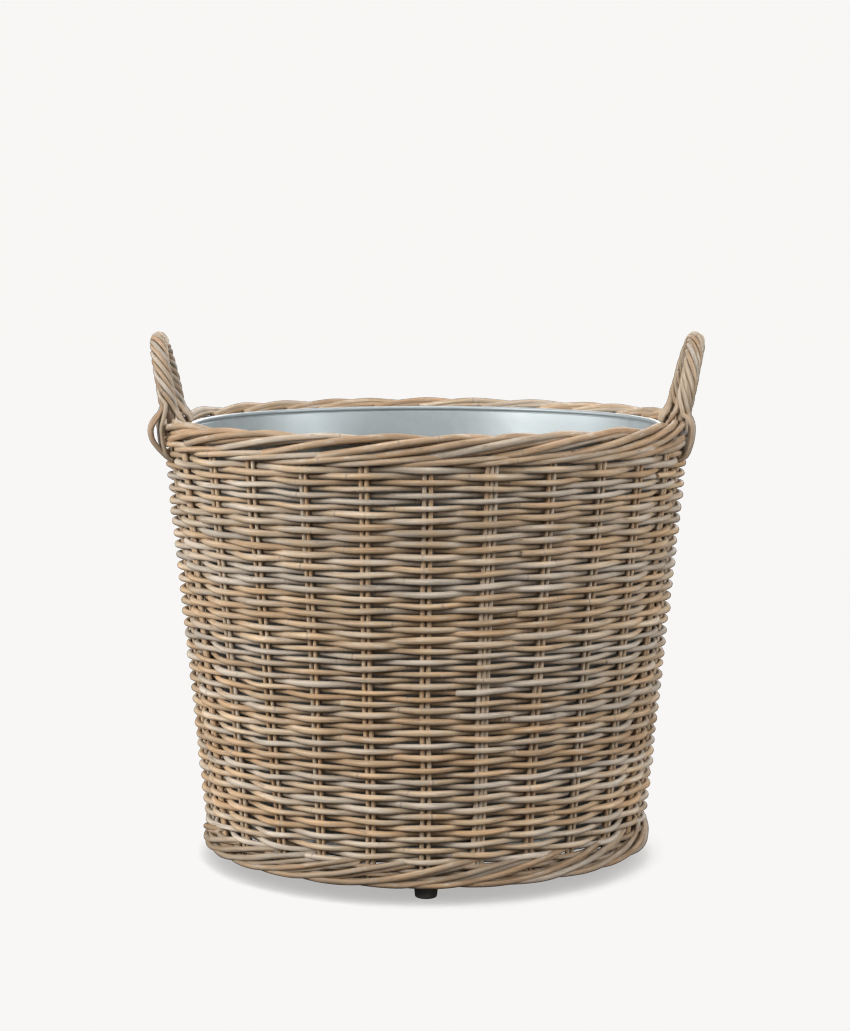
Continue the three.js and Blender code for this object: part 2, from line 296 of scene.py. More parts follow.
class Nodes:
    """Short calls for building a material's nodes."""

    def __init__(self, name):
        self.material = bpy.data.materials.new(name)
        self.material.use_nodes = True
        self.tree = self.material.node_tree
        self.shader = self.tree.nodes["Principled BSDF"]

    def node(self, kind, inputs=None, **settings):
        made = self.tree.nodes.new(kind)
        for key, value in settings.items():
            setattr(made, key, value)
        for key, value in (inputs or {}).items():
            self.link(value, made.inputs[key])
        return made

    def link(self, value, socket):
        if isinstance(value, bpy.types.NodeSocket):
            self.tree.links.new(value, socket)
        else:
            socket.default_value = value

    def attribute(self, name, output="Vector"):
        return self.node("ShaderNodeAttribute", attribute_name=name).outputs[output]

    def object_place(self):
        return self.node("ShaderNodeTexCoord").outputs["Object"]

    def math(self, operation, a, b=0.0, clamp=False):
        return self.node("ShaderNodeMath", {0: a, 1: b}, operation=operation, use_clamp=clamp).outputs[0]

    def scaled(self, vector, scale):
        return self.node("ShaderNodeVectorMath", {0: vector, 1: scale}, operation="MULTIPLY").outputs[0]

    def noise(self, vector, scale=1.0, detail=2.0, roughness=0.5):
        inputs = {"Vector": vector, "Scale": scale, "Detail": detail, "Roughness": roughness}
        return self.node("ShaderNodeTexNoise", inputs).outputs["Fac"]

    def ramp(self, value, *stops):
        """Colour ramp; each stop is (position, colour)."""
        node = self.node("ShaderNodeValToRGB", {"Fac": value})
        elements = node.color_ramp.elements
        while len(elements) < len(stops):
            elements.new(0.5)
        for element, (position, colour) in zip(elements, stops):
            element.position = position
            element.color = colour
        return node.outputs["Color"]

    def remap(self, value, low, high, to_low=0.0, to_high=1.0):
        inputs = {"Value": value, "From Min": low, "From Max": high, "To Min": to_low, "To Max": to_high}
        return self.node("ShaderNodeMapRange", inputs).outputs["Result"]

    def mix(self, factor, a, b, blend="MIX"):
        node = self.node("ShaderNodeMix", data_type="RGBA", blend_type=blend)
        self.link(factor, node.inputs[0])
        self.link(a, node.inputs[6])
        self.link(b, node.inputs[7])
        return node.outputs[2]

    def shade(self, colour, value):
        """Colour multiplied by a value."""
        grey = self.node("ShaderNodeCombineColor", {0: value, 1: value, 2: value}).outputs[0]
        return self.mix(1.0, colour, grey, "MULTIPLY")

    def bump(self, height, strength, distance):
        inputs = {"Height": height, "Strength": strength, "Distance": distance}
        return self.node("ShaderNodeBump", inputs).outputs["Normal"]

    def finish(self, **inputs):
        for key, value in inputs.items():
            self.link(value, self.shader.inputs[key.replace("_", " ")])
        return self.material


CANE_DARK = srgb(74, 54, 38)
CANE_BLOOM = srgb(186, 180, 170)


def cane_material(name, grey, middle, tan):
    """Weathered rattan: grey to tan patches, fibres, streaks, specks, stains, joints, and painted shade
    deep in the weave.
    """
    m = Nodes(name)
    cane = m.attribute("cane")
    tint = m.node("ShaderNodeSeparateColor", {"Color": m.attribute("tint", "Color")})
    warm, light, painted_shade_level = tint.outputs
    along = m.node("ShaderNodeSeparateXYZ", {"Vector": cane}).outputs["Z"]

    # patches of tone, each a few centimetres long
    patch = m.noise(m.scaled(cane, (140, 140, 26)), detail=3)
    tone = m.math("ADD", warm, m.remap(patch, 0.3, 0.7, -0.25, 0.25), clamp=True)
    colour = m.ramp(tone, (0.1, grey), (0.5, middle), (0.9, tan))

    # pale bloom of the skin
    bloom = m.noise(m.scaled(cane, (260, 260, 60)), detail=4, roughness=0.6)
    colour = m.mix(m.remap(bloom, 0.54, 0.74, 0.0, 0.6), colour, CANE_BLOOM)

    # fibres, and lighter and darker rods
    fibre = m.noise(m.scaled(cane, (1000, 1000, 28)), detail=3, roughness=0.65)
    fine = m.noise(m.scaled(cane, (3000, 3000, 110)), detail=1)
    colour = m.shade(colour, m.remap(fibre, 0.3, 0.7, 0.72, 1.2))
    colour = m.shade(colour, m.remap(light, 0.0, 1.0, 0.76, 1.22))

    # long streaks
    streak = m.noise(m.scaled(cane, (430, 430, 13)), detail=2)
    colour = m.shade(colour, m.remap(streak, 0.3, 0.7, 0.82, 1.14))

    # specks, gathered in places
    specks = m.noise(m.scaled(cane, (1400, 1400, 800)), detail=1)
    speckled = m.noise(m.scaled(cane, (45, 45, 22)), detail=2)
    speck = m.math("MULTIPLY", m.remap(specks, 0.60, 0.68), m.remap(speckled, 0.58, 0.70, 0.0, 0.7))
    colour = m.mix(speck, colour, CANE_DARK)

    # stains
    stain = m.noise(m.scaled(cane, (330, 330, 55)), detail=4, roughness=0.65)
    colour = m.mix(m.remap(stain, 0.58, 0.74, 0.0, 0.65), colour, CANE_DARK)

    # joints of the cane: a dark scar in a pale collar, plainer in some patches than in others
    joint_place = m.math("ADD", m.math("MULTIPLY", along, 5.5), m.remap(fine, 0.0, 1.0, 0.0, 0.006))
    joints = m.node("ShaderNodeTexVoronoi", {"W": joint_place, "Scale": 1.0}, voronoi_dimensions="1D")
    distance = joints.outputs["Distance"]
    plain = m.remap(patch, 0.42, 0.58, 0.15, 1.0)
    scar = m.math("MULTIPLY", m.remap(distance, 0.002, 0.008, 1.0, 0.0), plain)
    collar = m.math("MULTIPLY", m.remap(distance, 0.008, 0.028, 1.0, 0.0), plain)
    colour = m.mix(m.math("MULTIPLY", collar, 0.2), colour, CANE_BLOOM)
    colour = m.mix(m.math("MULTIPLY", scar, 0.4), colour, CANE_DARK)
    # painted shade: the colour darkens where the rod lies deep in the weave; the cut faces darken here
    # too
    colour = m.mix(m.math("MULTIPLY", painted_shade_level, 0.66), colour, CANE_DARK)

    # relief
    height = m.math("ADD", m.math("MULTIPLY", fibre, 0.6), m.math("MULTIPLY", fine, 0.3))
    height = m.math("SUBTRACT", height, m.math("MULTIPLY", scar, 0.7))
    height = m.math("ADD", height, m.math("MULTIPLY", collar, 0.5))
    return m.finish(
        Base_Color=colour,
        Roughness=m.remap(fibre, 0.2, 0.8, 0.74, 0.52),
        Specular_IOR_Level=0.35,
        Normal=m.bump(height, 0.55, 0.0009),
    )


weave_cane = cane_material("weave_cane", srgb(172, 160, 145), srgb(172, 149, 121), srgb(168, 138, 105))
stake_cane = cane_material("stake_cane", srgb(170, 156, 138), srgb(168, 144, 116), srgb(162, 131, 98))
border_cane = cane_material("border_cane", srgb(157, 144, 128), srgb(156, 133, 107), srgb(153, 124, 94))
handle_cane = cane_material("handle_cane", srgb(152, 142, 129), srgb(149, 131, 109), srgb(141, 114, 88))
base_cane = cane_material("base_cane", srgb(150, 136, 116), srgb(152, 130, 103), srgb(146, 114, 82))


def zinc_material():
    """Galvanised sheet with faint spangle and cloud."""
    m = Nodes("zinc_sheet")
    place_in = m.object_place()
    spangle = m.node("ShaderNodeTexVoronoi", {"Vector": place_in, "Scale": 85.0}).outputs["Color"]
    cell = m.node("ShaderNodeSeparateColor", {"Color": spangle}).outputs[0]
    cloud = m.noise(place_in, 9.0, detail=4)
    shade = m.math("ADD", m.remap(cell, 0, 1, -0.02, 0.02), m.remap(cloud, 0.3, 0.7, -0.03, 0.03))
    rough = m.math("ADD", m.remap(cell, 0, 1, 0.44, 0.5), m.remap(cloud, 0.3, 0.7, -0.03, 0.03))
    tone = m.math("ADD", 0.5, shade)
    return m.finish(
        Base_Color=m.ramp(tone, (0.4, srgb(136, 143, 145)), (0.6, srgb(154, 161, 163))),
        Metallic=0.4,
        Roughness=rough,
        Normal=m.bump(m.noise(place_in, 220.0, detail=3), 0.05, 0.0006),
    )


def steel_material():
    """Plated steel, finely scratched."""
    m = Nodes("steel")
    scratch = m.noise(m.object_place(), 900.0, detail=3)
    return m.finish(
        Base_Color=m.ramp(scratch, (0.3, srgb(120, 122, 125)), (0.7, srgb(165, 167, 170))),
        Metallic=0.95,
        Roughness=m.remap(scratch, 0.3, 0.7, 0.3, 0.5),
        Normal=m.bump(scratch, 0.08, 0.0002),
    )


def foot_material():
    """Scuffed black plastic."""
    m = Nodes("foot_plastic")
    place_in = m.object_place()
    scuff = m.noise(place_in, 120.0, detail=5, roughness=0.7)
    return m.finish(
        Base_Color=m.ramp(scuff, (0.35, srgb(64, 61, 58)), (0.75, srgb(86, 82, 77))),
        Roughness=m.remap(scuff, 0.3, 0.7, 0.5, 0.66),
        Normal=m.bump(m.noise(place_in, 1400.0, detail=3), 0.25, 0.0003),
    )


zinc = zinc_material()
steel = steel_material()
foot_plastic = foot_material()

# ---------------------------------------------------------------------------
# Handle legs, which the weave bulges over
# ---------------------------------------------------------------------------
FRONT_LEG = math.acos((-span("handle_right_bow", 1)[0] - BOW) / wall(BORDER_CREST))
BACK_LEG = math.pi / 2 + math.asin((span("handle_right_bow", 1)[1] - BOW) / wall(BORDER_CREST))
HALF_ANGLE = (BACK_LEG - FRONT_LEG) / 2
LEG_BOTTOM = span("handle_right_bow", 2)[0]
LEGS = (FRONT_LEG, BACK_LEG, TAU - FRONT_LEG, TAU - BACK_LEG)
LEG_REACH = 0.045  # angle round the basket over which a leg pushes the weave out


def leg_nearness(theta, z):
    """1 on a handle leg pushed into the weave, fading to 0 beside it and below it."""
    theta = np.mod(theta, TAU)
    near = sum(np.exp(-((theta - leg) / LEG_REACH) ** 2) for leg in LEGS)
    return near * ease((z - LEG_BOTTOM + 20) / 60)


# ---------------------------------------------------------------------------
# Stakes: pairs of rods standing in the wall
# ---------------------------------------------------------------------------
STAKE_SETS = 3
TRIO_EVERY = 7  # every so many stakes, one has three rods
TRIO_GAP = STAKE_GAP * 0.74  # between the rods of such a stake
STAKE_LEAN = 2.2  # how far a stake may run out of plumb at its ends


def build_stakes():
    per_set = STAKES // STAKE_SETS
    for k in range(STAKE_SETS):
        rods = Rods(f"stakes_{k + 1}", 10 + k)
        rng = rods.rng
        numbers = range(k * per_set, (k + 1) * per_set)
        for i in numbers:
            z = np.arange(FOOT_BOTTOM + 5, BORDER_BOTTOM + 3, 7.0)
            plumb = np.linspace(-STAKE_LEAN, STAKE_LEAN, len(z))
            drift = wander(rng, z, 90, 1.2) + rng.uniform(-1, 1) * plumb
            trio = i % TRIO_EVERY == 1
            gap = STAKE_GAP * rng.uniform(0.9, 1.25)
            places = (-TRIO_GAP, 0, TRIO_GAP) if trio else (-gap / 2, gap / 2)
            for offset in places:
                theta = i * STEP + (drift + offset + wander(rng, z, 60, 0.45)) / wall(z)
                path = on_ring(theta, wall(z) + wander(rng, z, 50, 0.3), z)
                # a little painted shade on the stakes
                rods.add(path, outward(theta), STAKE_ROD * rng.uniform(0.95, 1.1), depth=0.06,
                         warmth=rng.uniform(-0.4, 0.6), light=rng.uniform(-0.2, 0.6))
        rods.build(stake_cane, "stake_cane", "basket", *[f"stake_{i + 1:02d}" for i in numbers])


# ---------------------------------------------------------------------------
# Side weaving: one spiral of rods laid end to end, over and under the stakes
# ---------------------------------------------------------------------------
FIRST_ROW = WEAVE_BOTTOM + 1.0
ROWS = (WEAVE_TOP - 2.5 - FIRST_ROW) / ROW_PITCH
ROUNDS_PER_ROD = 1.7
RODS_PER_SET = 4
SAMPLES_PER_STEP = 9
OVERLAP = 0.3  # of a step, where a new rod starts over the end of the last
MEAN_RADIUS = 255.0  # turns an angle into a length along a weaver
LEG_BULGE = 2.4  # how much further a weaver stands off a handle leg
TUCK = 3.2  # how far the end of a weaver goes in behind the next one


def rod_ends(rng):
    """Start and end of each weaver in stake steps along the spiral; each starts just left of a stake."""
    last = ROWS * STAKES
    start = 0.0
    while start < last:
        end = start + 2 * round((ROUNDS_PER_ROD + rng.uniform(-0.5, 0.5)) * STAKES / 2)
        if last - end < STAKES * 0.5:
            end = last
        yield start, end
        start = end


def build_weave():
    rng = np.random.default_rng(SEED)
    broad = ripple(rng, 11, 48.0, 1.5)
    local = ripple(rng, 41, 15.0, 1.2)
    patches = ripple(rng, 53, 26.0, 0.55)
    sets = []
    for number, (start, end) in enumerate(rod_ends(rng)):
        if number % RODS_PER_SET == 0:
            sets.append(Rods(f"side_weave_rows_{len(sets) + 1:02d}", 100 + number))
        # u counts stakes along the spiral; even ones are passed outside, odd ones inside
        early, late = rng.uniform(0.38, 0.56), rng.uniform(0.38, 0.56)
        u = np.arange(start - early, end - late + OVERLAP, 1 / SAMPLES_PER_STEP)
        theta = (BACK_STAKE + u) * STEP
        turns = u / STAKES
        s = (u - u[0]) * STEP * MEAN_RADIUS
        level = FIRST_ROW + turns * ROW_PITCH
        z = level + broad(theta, level) + local(theta, level) + wander(rng, s, 60, 0.45)
        swing = np.cos(math.pi * u)
        tuck = ease(1 - (s[-1] - s) / 16) * -TUCK
        spring = np.exp(-s / 14) * rng.uniform(0.6, 2.2)
        reach = WEAVE_SWING + LEG_BULGE * leg_nearness(theta, z)
        radius = wall(z) + swing * reach + wander(rng, s, 45, 0.35) + tuck + spring
        crossing = 1 - swing ** 2
        inner = np.clip(-swing, 0, 1)
        # painted shade: darker where the weaver runs behind a stake, and a little where it crosses
        # between stakes
        sets[-1].add(on_ring(theta, radius, z), outward(theta), WEAVER * rng.uniform(0.86, 1.15),
                     flat=1 - 0.1 * crossing, depth=0.55 * inner + 0.22 * crossing,
                     warmth=rng.uniform(-0.8, 0.7), light=rng.uniform(-0.5, 0.6) + patches(theta, z))
    bands = [f"side_weave_{k}" for k in (1, 2, 3)]
    for rods in sets:
        low, high = rods.heights()
        nodes = [band for band in bands if span(band, 2)[0] < high and low < span(band, 2)[1]]
        rods.build(weave_cane, "weave_cane", "basket", *nodes)


# ---------------------------------------------------------------------------
# Upper wale: three rods, each in front of two stakes and behind one
# ---------------------------------------------------------------------------


def periodic(u, period, *knots):
    """Smooth periodic function through (position, value) knots."""
    x = np.array([k[0] for k in knots], float)
    y = np.tile([k[1] for k in knots], 3)
    x = np.concatenate([x - period, x, x + period])
    u = np.mod(u, period)
    i = np.searchsorted(x, u, side="right") - 1
    f = ease((u - x[i]) / (x[i + 1] - x[i]))
    return y[i] * (1 - f) + y[i + 1] * f


WALE_RADIUS = 270.0  # turns an angle into a length along the wale


def build_wale():
    rods = Rods("upper_wale_rods", 20)
    rng = rods.rng
    middle = (WALE_BOTTOM + WALE_TOP) / 2
    swing = STAKE_ROD + WALE_ROD + 0.3
    for k in range(3):
        u = np.arange(k + 0.35, k + 0.1 + STAKES, 1 / 9)
        theta = (BACK_STAKE + u) * STEP
        s = (u - u[0]) * STEP * WALE_RADIUS
        radial = periodic(u - k, 3, (0, swing), (0.5, swing + 1.2), (1, swing), (2, -swing))
        lift = periodic(u - k, 3, (1.5, 4.0), (2.5, -3.4))
        z = middle + lift + wander(rng, s, 90, 0.8)
        path = on_ring(theta, wall(z) + radial, z)
        # painted shade: darker where a wale rod runs behind a stake
        rods.add(path, outward(theta), WALE_ROD, depth=0.45 * np.clip(-radial / swing, 0, 1),
                 warmth=rng.uniform(-0.3, 0.4), light=rng.uniform(-0.2, 0.3))
    rods.build(border_cane, "border_cane", "basket", "upper_wale")


# ---------------------------------------------------------------------------
# Borders: each stake's rods turn over and run to the right along the edge
# ---------------------------------------------------------------------------


def lay(rods, stake, knots, radius, jitter, light):
    """One border rod through (steps past the stake, radius, height) knots."""
    rng = rods.rng
    points = [on_ring((stake + u) * STEP, r + rng.uniform(-jitter, jitter), z) for u, r, z in knots]
    path = smooth_curve(points, 5.0)
    # a little painted shade on every border rod
    rods.add(path, outward(angle_of(path)), radius, sides=12, depth=0.05,
             warmth=rng.uniform(-0.55, 0.5), light=light + rng.uniform(-0.35, 0.35))


def build_top_border():
    rods = Rods("top_border_rods", 30)
    rng = rods.rng
    face = BORDER_OUTER - BORDER_ROD
    crest = BORDER_CREST - BORDER_ROD
    low = BORDER_BOTTOM
    for stake in range(STAKES):
        lift = rng.uniform(-1.4, 0.8)
        shift = rng.uniform(-0.18, 0.22)
        outer = [
            (-0.2, wall(low), low - 9),
            (0.1 + shift, face - 4.6, low - 3.6),
            (0.5 + shift, face - 1.2, low + 0.6),
            (1.0 + shift, face, low + 6.2 + lift),
            (1.5 + shift, face - 0.6, low + 11.6 + lift),
            (1.95 + shift, face - 3.4, crest - 2.2 + lift * 0.7),
            (2.4 + shift, face - 7.4, crest - 0.2 + lift * 0.4),
            (2.9 + shift, face - 11.0, crest - 2.8),
            (3.4 + shift, face - 12.8, crest - 7.4),
        ]
        lay(rods, stake, outer, BORDER_ROD * rng.uniform(0.9, 1.1), 0.5, 0.1)
        shift = rng.uniform(0.3, 0.65)
        lift = rng.uniform(-1.6, 1.0)
        inner = [
            (-0.1, wall(low), low - 7),
            (0.0 + shift, face - 6.8, low - 1.6),
            (0.5 + shift, face - 5.4, low + 2.8),
            (1.1 + shift, face - 5.2, low + 8.4 + lift),
            (1.7 + shift, face - 7.4, crest - 4.6 + lift),
            (2.3 + shift, face - 11.4, crest - 5.4),
            (2.8 + shift, face - 13.6, crest - 9.4),
        ]
        lay(rods, stake, inner, BORDER_ROD * rng.uniform(0.76, 0.94), 0.5, 0.0)
    rods.build(border_cane, "border_cane", "basket", "top_border")


FOOT_ROUNDS = 6  # of thin rod behind the foot border


def build_foot_border():
    rods = Rods("foot_border_rods", 40)
    rng = rods.rng
    face = FOOT_OUTER - FOOT_ROD
    low = FOOT_BOTTOM + FOOT_ROD
    for stake in range(STAKES):
        spiral = np.mod((stake - BACK_STAKE) / STAKES, 1.0) * ROW_PITCH
        shift = rng.uniform(-0.2, 0.2)
        lift = rng.uniform(-1.0, 1.1)
        outer = [
            (-0.9 + shift, face - 10.0, low + 5.5),
            (-0.5 + shift, face - 4.8, low + 1.0),
            (0.0 + shift, face - 0.9, low + 0.0),
            (0.5 + shift, face - 0.1, low + 0.7),
            (1.0 + shift, face, low + 4.2 + lift * 0.7),
            (1.5 + shift, face, low + 9.2 + lift),
            (2.0 + shift, face - 0.8, low + 14.6 + lift + spiral * 0.3),
            (2.5 + shift, face - 3.6, low + 19.0 + spiral * 0.8),
            (2.95 + shift, face - 8.0, low + 22.0 + spiral),
        ]
        # painted shade: the foot border's rods are set darker than the top border's, darker towards the
        # bottom
        lay(rods, stake, outer, FOOT_ROD * rng.uniform(0.84, 1.02), 0.4, -0.6)
        shift = rng.uniform(0.25, 0.75)
        inner = [
            (-0.6 + shift, face - 11.0, low + 5),
            (-0.1 + shift, face - 5.4, low + 1.4),
            (0.5 + shift, face - 3.6, low + 2.2),
            (1.1 + shift, face - 4.4, low + 7.2),
            (1.7 + shift, face - 4.6, low + 13.4 + spiral * 0.3),
            (2.3 + shift, face - 6.0, low + 18.0 + spiral * 0.7),
        ]
        # painted shade: this inner foot rod is set darker still
        lay(rods, stake, inner, FOOT_ROD * rng.uniform(0.8, 1.0), 0.5, -0.7)
    # rounds of a thinner rod in and out of the stakes behind the border, the first one level
    thin = FOOT_ROD * 0.8
    u = np.arange(0, STAKES * FOOT_ROUNDS, 1 / SAMPLES_PER_STEP)
    theta = (BACK_STAKE + u) * STEP
    z = low + np.maximum(u / STAKES - 1, 0) * (WEAVE_BOTTOM - low) / (FOOT_ROUNDS - 1)
    swing = np.cos(math.pi * u)
    radius = wall(z) + swing * (STAKE_ROD + thin)
    # painted shade: the thin rod is darker overall, and more where it runs behind a stake
    rods.add(on_ring(theta, radius, z), outward(theta), thin, light=-0.4, depth=0.5 - 0.2 * swing)
    rods.build(border_cane, "border_cane", "basket", "foot_border")


# ---------------------------------------------------------------------------
# Base: radial rods with a spiral woven through them, on the CAD poles
# ---------------------------------------------------------------------------
BASE_HUB = 24.0
BASE_SPOKES = 23  # odd, so the spiral alternates by itself
BASE_PITCH = 5.6
BASE_PARTS = 9  # rods that the spiral is made of
SPOKE_ROD = 1.4
SPIRAL_ROD = 2.0


def build_base():
    rods = Rods("base_weave_rods", 50)
    rng = rods.rng
    up = np.array([0, 0, 1.0])
    middle = (BASE_BOTTOM + BASE_TOP) / 2
    # the spokes and the spiral carry some painted shade, as the base lies under the basket
    for i in range(BASE_SPOKES):
        radius = np.arange(BASE_HUB - 12, BASE_RADIUS - 1, 8.0)
        path = on_ring(i / BASE_SPOKES * TAU, radius, middle + wander(rng, radius, 40, 0.2))
        rods.add(path, up, SPOKE_ROD, sides=8, depth=0.2)
    theta = np.arange(0, (BASE_RADIUS - 2 - BASE_HUB) / BASE_PITCH * TAU, TAU / BASE_SPOKES / 4)
    radius = BASE_HUB + theta / TAU * BASE_PITCH
    path = on_ring(theta, radius, middle + 1.3 * np.cos(theta * BASE_SPOKES / 2))
    for part in np.array_split(np.arange(len(path)), BASE_PARTS):
        rods.add(path[part], up, SPIRAL_ROD, sides=8, flat=1.25, depth=0.25,
                 warmth=rng.uniform(-0.4, 0.5), light=rng.uniform(-0.3, 0.2))
    return rods.build(base_cane, "base_cane", "basket", "base_weave")


# ---------------------------------------------------------------------------
# Handles: a bow roped with eight rods, their ends brought down over both sides of the border
# ---------------------------------------------------------------------------
ROPE_STRANDS = 8
ROPE_TURN = 88.0  # length of rope in which a strand goes once round
ROPE_RING = BOW + ROPE_ROD - 0.4  # a strand's distance from the bow's centre line
TIGHT = 1.0  # how far rope ends stand off the border where they lie against it

# lean: how far outward an arch goes per unit of its rise; loose: how far its outer rope ends stand off
HANDLE = (FRONT_LEG + BACK_LEG) / 2
RIGHT_LEAN = 0.234
RIGHT_LOOSE = 2.0
LEFT_LEAN = 0.2
LEFT_LOOSE = 11.0


def arch_point(handle, lean, angle):
    """Points on the bow's arch; angle runs from one leg at 0 to the other at pi."""
    start = wall(BORDER_CREST)
    rise = (HANDLE_TOP - ROPE_RING - ROPE_ROD - BORDER_CREST) * np.sin(angle)
    distance = start * math.cos(HALF_ANGLE) + lean * rise
    across = -start * math.sin(HALF_ANGLE) * np.cos(angle)
    return (outward(handle) * distance[:, None] + sideways(handle) * across[:, None]
            + np.array([0, 0, 1.0]) * (BORDER_CREST + rise)[:, None])


def build_bow(side, handle, lean, seed):
    bow = Rods(f"handle_{side}_core", seed)
    heights = np.linspace(LEG_BOTTOM, BORDER_CREST - 14, 9)
    legs = [on_ring(handle + turn * HALF_ANGLE, wall(heights), heights) for turn in (-1, 1)]
    arch = arch_point(handle, lean, np.linspace(0.05, math.pi - 0.05, 25))
    line = np.vstack([legs[0], arch, legs[1][::-1]])
    path = smooth_curve(line, 6.0)
    # the legs are cut to a long point below the border
    slype = 0.25 + 0.75 * ease((path[:, 2] - BORDER_BOTTOM) / (BORDER_CREST - BORDER_BOTTOM))
    # the core carries some painted shade, as it lies inside the rope
    bow.add(path, carried_frame(path)[1], BOW * slype, sides=12, depth=0.2)
    bow.build(handle_cane, "handle_cane", "basket", f"handle_{side}_bow")


def strand_end(rng, leg, radial, loose):
    """Knots of one strand's end, from the border's crest down, and whether it lies on the outside."""
    facing = float(np.dot(radial, outward(leg)))
    lateral = float(np.dot(radial, sideways(leg))) * 7.5 + rng.uniform(-1, 1)
    outside = facing > -0.2
    if outside:
        stand = loose if facing > 0.5 else TIGHT
        stand *= rng.uniform(0.8, 1.0)
        profile = [(BORDER_CREST + 0.2 * stand, 8.6 + stand * 0.5), (BORDER_CREST - 9, 11.4 + stand),
                   (BORDER_BOTTOM, 12.0 + stand), (WALE_BOTTOM + 3, 11.6 + stand * 0.6),
                   (WALE_BOTTOM - 7, 9.6), (WALE_BOTTOM - 12, 3.0)]
    else:
        profile = [(BORDER_CREST, -9.0), (BORDER_CREST - 8, -12.8), (BORDER_BOTTOM - 3, -12.2),
                   (WALE_BOTTOM, -9.5), (WALE_BOTTOM - 6, -3.0)]
    theta = leg + lateral / wall(BORDER_CREST)
    return [on_ring(theta, wall(z) + r, z) for z, r in profile], outside


def build_rope(side, handle, lean, loose, seed):
    rope = Rods(f"handle_{side}_rope", seed)
    rng = rope.rng
    angle = np.linspace(0.0, math.pi, 130)
    middle = arch_point(handle, lean, angle)
    tangent, normal = carried_frame(middle)
    binormal = np.cross(tangent, normal)
    s = lengths(middle)
    for k in range(ROPE_STRANDS):
        turn = k / ROPE_STRANDS * TAU - s / ROPE_TURN * TAU + wander(rng, s, 50, 0.12)
        radial = normal * np.cos(turn)[:, None] + binormal * np.sin(turn)[:, None]
        strand = middle + radial * (ROPE_RING + wander(rng, s, 26, 0.3))[:, None]
        cuts = []
        ends = []
        for leg, index in ((handle - HALF_ANGLE, 4), (handle + HALF_ANGLE, -5)):
            knots, outside = strand_end(rng, leg, radial[index], loose)
            ends.append(knots)
            # angle on the arch at which the strand leaves the rope
            leave = 0.04 + 0.007 * loose if outside else 0.08
            cuts.append(leave * rng.uniform(0.8, 1.2))
        kept = (angle > cuts[0]) & (angle < math.pi - cuts[1])
        line = np.vstack([ends[0][::-1], strand[kept][::3], ends[1]])
        path = smooth_curve(line, 4.0)
        # a little painted shade on the rope strands
        rope.add(path, carried_frame(path)[1], ROPE_ROD * rng.uniform(0.93, 1.06),
                 warmth=rng.uniform(-0.6, 0.35), light=rng.uniform(-0.2, 0.4), depth=0.04)
    rope.build(handle_cane, "handle_cane", "basket", f"handle_{side}_wrap")


# ---------------------------------------------------------------------------
# Turned pieces: liner, rim wire, feet
# ---------------------------------------------------------------------------


def turned(name, outline, segments, centre=(0.0, 0.0)):
    """Mesh of a closed outline of (radius, height) turned about an upright axis."""
    outline = np.array(outline, float)
    theta = np.arange(segments) / segments * TAU
    rings = on_ring(theta[None], outline[:, :1], outline[:, 1:]) + np.array([*centre, 0.0])
    index = np.arange(len(outline) * segments).reshape(len(outline), segments)
    faces = []
    for a, b in zip(index, np.roll(index, -1, 0)):
        faces += np.stack([a, np.roll(a, -1), np.roll(b, -1), b], -1).tolist()
    mesh = bpy.data.meshes.new(name)
    mesh.from_pydata((rings.reshape(-1, 3) * MM).tolist(), [], faces)
    mesh.polygons.foreach_set("use_smooth", np.ones(len(mesh.polygons), bool))
    mesh.update()
    return mesh


def arc(centre, radius, start, end, count):
    angle = np.radians(np.linspace(start, end, count))
    return [(centre[0] + radius * math.cos(a), centre[1] + radius * math.sin(a)) for a in angle]


SHEET = 0.8
GROOVE = 0.9  # height of the groove under the curled rim
SHOULDER = 1.0
NECK_ANGLE = 262  # where the curl meets the groove, in degrees
SEAM_LIP = 0.3  # small steps at the seam of wall and base
TURNS = 216


